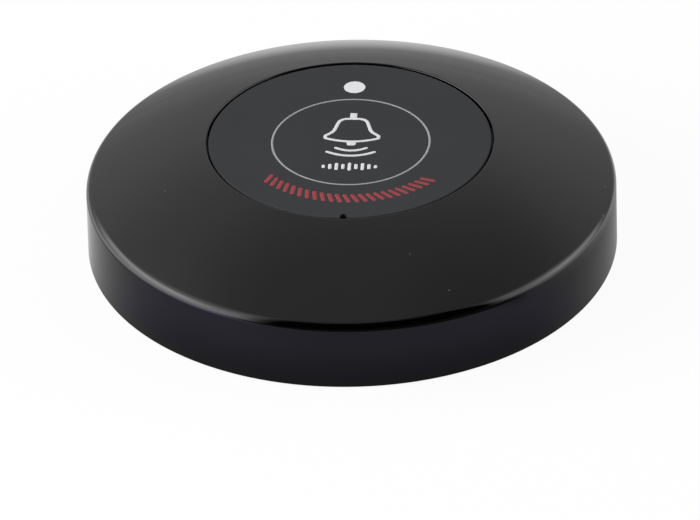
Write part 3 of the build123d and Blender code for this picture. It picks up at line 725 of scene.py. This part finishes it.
def satin_black():
    """The press cap: a fine grain that scatters all light evenly, black with a slight cast of blue."""
    make = Finish("satin_black_cap")
    grain = make.noise(0.12, roughness=0.6)
    cloud = make.noise(14.0)
    tone = make.colour(grain * 0.5 + cloud * 0.5, (0.038, 0.0388, 0.0412), (0.048, 0.0488, 0.0512))
    return make.surface(
        Base_Color=tone,
        Roughness=0.6 + 0.1 * grain,
        Specular_IOR_Level=0.0,
        Normal=make.bump(grain, 0.006),
    )


def moulded_black(name, tone, grain_size=0.35, depth=0.012, roughness=0.5):
    """Spark-textured black plastic with a slightly uneven sheen."""
    make = Finish(name)
    grain = make.noise(grain_size, roughness=0.55)
    cloud = make.noise(11.0)
    colour = make.colour(grain * 0.6 + cloud * 0.4, tone * 0.8, tone * 1.25)
    return make.surface(
        Base_Color=colour,
        Roughness=roughness + 0.12 * (grain - 0.5) + 0.06 * cloud,
        Normal=make.bump(grain, depth),
    )


def soft_rubber():
    """Dull black rubber with a dusty bloom."""
    make = Finish("soft_rubber")
    bloom = make.noise(2.6, detail=4.0, roughness=0.65)
    pores = make.cells(0.25)
    colour = make.colour(bloom, (0.018, 0.018, 0.019), (0.04, 0.039, 0.038))
    return make.surface(
        Base_Color=colour,
        Roughness=0.72 + 0.16 * bloom,
        Specular_IOR_Level=0.3,
        Normal=make.bump(pores, 0.01),
    )


def milky_lens():
    """The white light guide: smooth milky plastic, very slightly uneven."""
    make = Finish("milky_lens")
    cloud = make.noise(1.2)
    colour = make.colour(cloud, (0.64, 0.65, 0.66), (0.69, 0.69, 0.70))
    return make.surface(
        Base_Color=colour,
        Roughness=0.22 + 0.08 * cloud,
        Specular_IOR_Level=0.4,
    )


def ink(name, low, high):
    """Screen-printed ink: a matt film with fine pinholes and an uneven density."""
    make = Finish(name)
    film = make.noise(0.5, detail=3.0, roughness=0.6)
    return make.surface(
        Base_Color=make.colour(film, low, high),
        Roughness=0.5 + 0.1 * film,
        Specular_IOR_Level=0.0,
        Normal=make.bump(make.noise(0.08), 0.004),
    )


def bright_metal(name, low, high, roughness, size=0.5):
    """Plated or rolled metal with fine streaks along X, six times as long as they are wide."""
    make = Finish(name)
    streaks = make.noise(size, detail=3.0, place=make.place(scale=(1.0 / 6.0, 1.0, 1.0)))
    stain = make.noise(3.0)
    return make.surface(
        Base_Color=make.colour(stain, low, high),
        Metallic=1.0,
        Roughness=roughness + 0.14 * (streaks - 0.5),
        Normal=make.bump(streaks, 0.003),
    )


def board_laminate():
    """Green solder mask over copper tracks on glass-fibre board, in millimetres.

    The tracks run along Y in some patches and along X in the others. They are the lighter green.
    """
    make = Finish("board_laminate")
    x, y, _ = make.split(make.place(scale=(1 / MM, 1 / MM, 1 / MM)))
    half_pitch_x, half_pitch_y = 0.95, 1.25
    track_edge = (0.25, 0.32)        # distances from a track's middle, where it gives way to the board
    from_track_x = make.maths("PINGPONG", x + 0.6 * make.noise(6.0), half_pitch_x)
    from_track_y = make.maths("PINGPONG", y, half_pitch_y)
    routed = make.noise(7.0, detail=0.0).above(0.5)
    bare = make.ramp(from_track_x * routed + from_track_y * (1 - routed), *track_edge)
    weave = make.noise(0.4)
    mask = make.colour(bare, (0.022, 0.10, 0.045), (0.012, 0.055, 0.028))
    return make.surface(
        Base_Color=mask,
        Roughness=0.28 + 0.1 * weave,
        Normal=make.bump(1 - bare, 0.03),
    )


def chip_body(name, low, high, roughness=0.55):
    """Moulded epoxy or fired ceramic with a fine grit."""
    make = Finish(name)
    grit = make.noise(0.15, detail=3.0, roughness=0.7)
    return make.surface(
        Base_Color=make.colour(grit, low, high),
        Roughness=roughness + 0.15 * grit,
        Normal=make.bump(grit, 0.008),
    )


def amber_emitter():
    """The indicator: an amber chip under clear resin."""
    make = Finish("amber_emitter")
    glow = make.noise(0.6)
    return make.surface(
        Base_Color=make.colour(glow, (0.78, 0.62, 0.32), (0.88, 0.76, 0.50)),
        Roughness=0.18 + 0.1 * glow,
        Coat_Weight=0.4,
        Coat_Roughness=0.05,
    )


def dress_nodes():
    """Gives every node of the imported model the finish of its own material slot."""
    finishes = {
        "shell_black": gloss_black(),
        "cap_satin": satin_black(),
        "lens_white": milky_lens(),
        "base_black": moulded_black("textured_black_base", tone=0.022, grain_size=0.4),
        "rubber_black": soft_rubber(),
        "zinc_steel": bright_metal("zinc_plate", (0.52, 0.53, 0.55), (0.64, 0.64, 0.63), 0.34),
        "nickel": bright_metal("nickel_plate", (0.60, 0.57, 0.51), (0.68, 0.65, 0.60), 0.26),
        "board_green": board_laminate(),
        "epoxy_black": chip_body("moulded_epoxy", (0.016, 0.016, 0.017), (0.032, 0.032, 0.033)),
        "ceramic_tan": chip_body("fired_ceramic", (0.40, 0.29, 0.18), (0.50, 0.37, 0.24), 0.45),
        "tinned": bright_metal("tinned_lead", (0.58, 0.58, 0.60), (0.70, 0.70, 0.71), 0.3),
        "copper": bright_metal("enamelled_copper", (0.72, 0.36, 0.20), (0.80, 0.44, 0.26), 0.25),
        "cell_steel": bright_metal("cell_can", (0.60, 0.60, 0.60), (0.70, 0.70, 0.69), 0.22, size=0.9),
        "led_amber": amber_emitter(),
        "plunger_black": moulded_black("plunger_plastic", tone=0.03, depth=0.004, roughness=0.4),
    }
    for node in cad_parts.values():
        for place in node.material_slots:
            place.material = finishes[place.material.name.split(".")[0]]
    return finishes


# --- marks printed on the press cap -----------------------------------------------------------------
def print_ring(material):
    """A fine circle round the bell."""
    circle = arc(RING_RADIUS, 0.0, 359.0, 360) + RING_MIDDLE
    printed_on_cap("print_ring", [raised_line(circle, RING_LINE, closed=True)], material)


def print_bell(material):
    """A table bell in outline: crown, body flaring to a lip, clapper and two arcs for its swing."""
    right_side = [
        (BELL_TOP_X, BELL_TOP_Y),
        (BELL_WAIST_X, BELL_WAIST_Y),
        (BELL_LIP_X, BELL_LIP_TOP),
    ]
    lip = sagging(BELL_LIP_X, BELL_LIP_FOOT, BELL_SAG, 13)[::-1].tolist()
    left_side = [(-x, y) for x, y in right_side[::-1]]
    roundings = [*BELL_ROUNDINGS, *[BELL_ROUNDINGS[-1]] * len(lip), *BELL_ROUNDINGS[::-1]]
    outline = rounded_path(right_side + lip + left_side, roundings)
    crown_half = BELL_CROWN_WIDTH / 2
    crown = [
        (-crown_half, BELL_CROWN_TOP),
        (crown_half, BELL_CROWN_TOP),
        (crown_half, BELL_TOP_Y),
        (-crown_half, BELL_TOP_Y),
    ]
    top_half, foot_half = (width / 2 for width in CLAPPER_WIDTHS)
    clapper = [
        (-top_half, CLAPPER_TOP),
        (top_half, CLAPPER_TOP),
        (foot_half, CLAPPER_FOOT),
        (-foot_half, CLAPPER_FOOT),
    ]
    shapes = [
        raised_line(outline, BELL_LINE, closed=True),
        raised_patch(crown, CROWN_ROUNDING),
        raised_patch(clapper, CLAPPER_ROUNDING),
    ]
    shapes += [raised_line(sagging(*swing), BELL_LINE) for swing in SWING_ARCS]
    printed_on_cap("print_bell", shapes, material)


def print_bars(material):
    """A row of upright bars, like the steps of a chime, under the bell."""
    shapes = []
    for i, height in enumerate(BARS_HEIGHTS):
        x = (i - (len(BARS_HEIGHTS) - 1) / 2) * BARS_PITCH
        reach = height / 2
        shapes.append(raised_line([(x, BARS_Y - reach), (x, BARS_Y + reach)], BARS_WIDTH, spacing=0.06))
    printed_on_cap("print_bars", shapes, material)


def print_dashes(material):
    """A garland of short slanted dashes along the cap's front edge."""
    shapes = []
    for angle in np.radians(np.linspace(DASH_FIRST_ANGLE, DASH_LAST_ANGLE, DASH_COUNT)):
        middle = DASH_RADIUS * np.array([cos(angle), sin(angle)])
        lean = angle + radians(DASH_SLANT)
        reach = DASH_LENGTH / 2 * np.array([cos(lean), sin(lean)])
        shapes.append(raised_line([middle - reach, middle + reach], DASH_WIDTH, spacing=0.08))
    printed_on_cap("print_dashes", shapes, material)


# --- marks moulded underneath ----------------------------------------------------------------------
def mark_door(material):
    """A pointer at the door's edge, and an arrow round the coin slot the way that the door opens."""
    pointer = np.concatenate([arc(r, DOOR_POINTER_ANGLE, DOOR_POINTER_ANGLE, 1) for r in DOOR_POINTER])
    curve = arc(TWIST_ARC_RADIUS, *TWIST_ARC)
    tip = curve[-1]
    forward, outward = along(curve)[-1], tip / TWIST_ARC_RADIUS
    barbs = [tip - TWIST_HEAD * (forward + side * TWIST_HEAD_SPREAD * outward) for side in (1, -1)]
    paths = [pointer, curve, [barbs[0], tip], [barbs[1], tip]]
    shapes = [raised_line(path, MARK_WIDTH, thickness=DOOR_MARK_HEIGHT) for path in paths]
    moulded_below("door_marks", shapes, "battery_door", "door", material)


def mark_base(material):
    """Where the door's pointer stands: a dot when it is locked and a ring when it is open."""
    locked = arc(LOCK_MARKS_RADIUS, DOOR_POINTER_ANGLE, DOOR_POINTER_ANGLE, 1)
    opened = arc(LOCK_MARKS_RADIUS, DOOR_POINTER_ANGLE - DOOR_TWIST, DOOR_POINTER_ANGLE, 1)
    dot = arc(LOCK_DOT, 360.0, 15.0, 24) + locked
    ring = arc(LOCK_RING, 0.0, 350.0, 36) + opened
    shapes = [
        raised_patch(dot, LOCK_DOT_ROUNDING, thickness=BASE_MARK_HEIGHT),
        raised_line(ring, MARK_WIDTH / 2, closed=True, thickness=BASE_MARK_HEIGHT),
    ]
    moulded_below("lock_marks", shapes, "base_plate", "housing", material)


# --- table, light and camera --------------------------------------------------------------------------
def round_the_part(make, x, y):
    """The azimuth of a direction or a place, in degrees."""
    return make.maths("ARCTAN2", x, y) * (180 / pi)


def from_azimuth(make, azimuth, middle):
    """How far an azimuth lies from a middle one, in degrees between -180 and 180."""
    return make.maths("WRAP", azimuth - middle, 180.0, -180.0)


def unlit_front(make, azimuth, band):
    """1 towards the unlit front of the room and 0 everywhere else."""
    return make.band(from_azimuth(make, azimuth, UNLIT_MIDDLE), band)


def painted_table_in_gloss(make):
    """The brightness and the colour of the table as the gloss shows it.

    It is dim in front of the part and brighter towards the back, with a brighter and a darker
    side: all painted shade and painted light. A patch round the part has a painted shadow at the
    part's foot. At the two ends of the front that painted shadow moves outwards, so that the foot
    is the brighter there. Further off the painted light fades, and there come a painted sheen of
    the two windows and the painted shade of the unlit front of the room. The sheen grows as the
    slant, which is the rim's height over the distance from the part's side, gets small. Under the
    part the table has one even tone, a painted shadow, and in front of it a painted bluish tint.
    """
    place = make.node("TexCoord").outputs["Object"]
    x, y, _ = make.split(place)
    azimuth = round_the_part(make, x, y)
    from_front = from_azimuth(make, azimuth, 180.0)
    from_axis = make.distance(place, (0.0, 0.0, 0.0))
    from_side = from_axis - PART_RADIUS
    # Painted shade: dim in front, with painted light on one side and painted shade on the other.
    aside = between(FRONT_TONE, 1.0, make.ramp(from_front.size(), *TABLE_ASIDE))
    gain = LIT_GAIN * make.band(azimuth, TABLE_LIT)
    loss = SHADY_LOSS * make.band(azimuth, TABLE_SHADY)
    # Painted shadow at the part's foot, which moves outwards at the two ends of the front.
    end = make.ramp(from_front.size(), *TABLE_ENDS)
    off_foot = make.ramp(from_side, 0.0, CONTACT_SHADE)
    patch = between(between(*FOOT_TONES, end), between(*OPEN_TONES, end), off_foot)
    near = aside * (1.0 + gain - loss) * patch
    # Painted pool of light round the part, fading further off.
    far = make.ramp(make.distance(place, PATCH_MIDDLE), *PATCH_EDGE)
    # Painted shade of the unlit front of the room, on the table.
    front = unlit_front(make, azimuth, TABLE_UNLIT)
    beyond = aside * between(*FAR_TONES, make.ramp(from_axis, *TABLE_FADE))
    # Painted reflection: the windows' sheen on the table.
    slant = SHEEN_HEIGHT / make.maths("MAXIMUM", from_side, MM)
    sheen = 0.0
    for window in SHEENS:
        fade = 1 - make.ramp(slant, 0.0, window["slant"])
        sheen = window["strength"] * make.band(azimuth, window["azimuth"]) * fade + sheen
    open_tone = near * (1 - far) + beyond * far * (1 - front) + sheen * (1 - far * front)
    # Painted shadow: one even tone under the part.
    brightness = between(UNDER_PART, open_tone, make.ramp(from_side, -UNDER_EDGE, 0.0))
    # Painted bluish tint of the reflection in front of the part.
    cool = make.band(from_front, TABLE_COOL) * make.ramp(from_side, *COOL_START)
    return brightness, cool


def lay_table():
    """A pale table top. From below it is clear, so that the underside can be seen.

    The camera sees it white, and the gloss sees its painted shade, shadow and reflection, worked out above.
    """
    side = TABLE_HALF_SIDE
    mesh = bpy.data.meshes.new("table")
    corners = [(-side, -side, 0), (side, -side, 0), (side, side, 0), (-side, side, 0)]
    mesh.from_pydata(corners, [], [(0, 1, 2, 3)])
    table = put_in_scene("table", mesh)
    make = Finish("pale_table")
    # The painted shade, shadow, reflection and bluish tint of the table, which only the gloss sees.
    in_gloss, cool = painted_table_in_gloss(make)
    path = make.node("LightPath")
    camera, glossy, through, shadow = (
        Value(make, path.outputs[f"Is {kind} Ray"]) for kind in ("Camera", "Glossy", "Transmission", "Shadow")
    )
    # Painted bluish tint of the reflection, for glossy rays only.
    cast = make.colour(glossy * cool, 1.0, COOL_CAST)
    strength = glossy * in_gloss + (1 - glossy)
    bright = make.node("Emission", values={"Color": cast, "Strength": strength})
    matt = make.node("BsdfDiffuse", values={"Color": shade(0.80)})
    pale = make.mixed((camera + glossy + through).clipped() * TABLE_GLOW, matt, bright)
    back = Value(make, make.node("NewGeometry").outputs["Backfacing"])
    clear = make.node("BsdfTransparent")
    top = make.mixed((back * camera + shadow).clipped(), pale, clear)
    mesh.materials.append(make.finish_with(top.outputs[0]))


def light_room():
    """A white room with two windows and an unlit front, seen in the gloss.

    It is brightest on its upper walls, dimmer at the right under the ceiling and brighter at the
    left. The camera sees it white. Its plain brightness, without the windows, lights the part
    softly.
    """
    world = bpy.data.worlds.new("white_room")
    bpy.context.scene.world = world
    world.use_nodes = True
    make = Finish(tree=world.node_tree)
    x, y, z = make.split(make.node("TexCoord").outputs["Generated"])
    azimuth = round_the_part(make, x, y)
    elevation = make.maths("ARCSINE", z) * (180 / pi)
    room = ROOM_LEVEL + ROOM_RISE * (make.ramp(z, *UPPER_WALLS) - make.ramp(z, *CEILING))
    room = room * (1 - RIGHT_LOSS * make.ramp(x, *RIGHT_SIDE) * make.ramp(z, *RIGHT_HEIGHT))
    room = room + LEFT_GAIN * (1 - make.ramp(x, *LEFT_SIDE))
    lit = 1 - unlit_front(make, azimuth, UNLIT_BAND) * (1 - make.ramp(elevation, *UNLIT_TOP))
    light = room
    for window in WINDOWS:
        across = make.band(azimuth, window["azimuth"])
        light = light + window["strength"] * across * make.band(elevation, window["elevation"])
    path = make.node("LightPath")
    camera = Value(make, path.outputs["Is Camera Ray"])
    glossy = Value(make, path.outputs["Is Glossy Ray"])
    seen = lit * (glossy * light + (1 - glossy) * ROOM_FILL * room)
    strength = camera + (1 - camera) * seen
    background = make.node("Background", values={"Color": shade(1.0), "Strength": strength})
    make.finish_with(background.outputs[0], kind="OutputWorld")


def soft_lamp(name, azimuth, elevation, distance, size, radiance):
    """A rectangular soft lamp that faces the part from a direction round it, in degrees.

    Azimuth 0 is towards +Y and 90 towards +X. Power is radiance times area times pi.
    """
    width, height = size
    data = bpy.data.lights.new(name, "AREA")
    data.shape = "RECTANGLE"
    data.size = width
    data.size_y = height
    data.energy = radiance * width * height * pi
    lamp = put_in_scene(name, data)
    a, e = radians(azimuth), radians(elevation)
    away = Vector((sin(a) * cos(e), cos(a) * cos(e), sin(e)))
    lamp.location = away * distance
    lamp.rotation_euler = away.to_track_quat("Z", "Y").to_euler()
    lamp.visible_glossy = False


def set_lights():
    """The lamps light the part without showing in its gloss, where the room's windows stand."""
    light_room()
    soft_lamp("window_left", azimuth=-98.0, elevation=17.0, distance=1.2, size=(1.5, 0.62), radiance=10.0)
    soft_lamp("window_right", azimuth=94.0, elevation=15.0, distance=1.2, size=(1.0, 0.55), radiance=5.5)
    soft_lamp("under_table", azimuth=0.0, elevation=-90.0, distance=0.6, size=(0.5, 0.5), radiance=3.0)


def set_camera():
    """The camera stands in front of the part, a little to its right, and is rolled slightly."""
    azimuth, elevation, roll = (radians(a) for a in (CAMERA_AZIMUTH, CAMERA_ELEVATION, CAMERA_ROLL))
    back = Vector((sin(azimuth) * cos(elevation), -cos(azimuth) * cos(elevation), sin(elevation)))
    level = Vector((cos(azimuth), sin(azimuth), 0.0))
    rise = back.cross(level)
    right = cos(roll) * level - sin(roll) * rise
    up = sin(roll) * level + cos(roll) * rise
    data = bpy.data.cameras.new("camera")
    data.sensor_fit = "HORIZONTAL"
    data.sensor_width = SENSOR_WIDTH
    data.lens = SENSOR_WIDTH * CAMERA_DISTANCE / (FRAME_WIDTH * MM)
    data.clip_end = CAMERA_REACH
    camera = put_in_scene("camera", data)
    turn = Matrix((right, up, back)).transposed()
    aim = (FRAME_AIM_RIGHT * right + FRAME_AIM_UP * up) * MM
    camera.matrix_world = Matrix.Translation(back * CAMERA_DISTANCE + aim) @ turn.to_4x4()
    bpy.context.scene.camera = camera


def set_look():
    """Colours go to the picture as they are."""
    bpy.context.scene.view_settings.view_transform = "Standard"


finishes = dress_nodes()
mould_shell(finishes["shell_black"])
flexing("return_spring", "zinc_steel", finishes)
flexing("switch_snap_dome", "nickel", finishes)
white_ink = ink("white_ink", (0.56, 0.56, 0.57), (0.69, 0.69, 0.70))
grey_ink = ink("grey_ink", (0.27, 0.27, 0.28), (0.34, 0.34, 0.35))
red_ink = ink("red_ink", (0.225, 0.052, 0.060), (0.30, 0.062, 0.072))
print_ring(grey_ink)
print_bell(white_ink)
print_bars(white_ink)
print_dashes(red_ink)
polished_relief = moulded_black("polished_relief", tone=0.045, depth=0.002, roughness=0.28)
mark_door(polished_relief)
mark_base(polished_relief)
lay_table()
set_lights()
set_camera()
set_look()
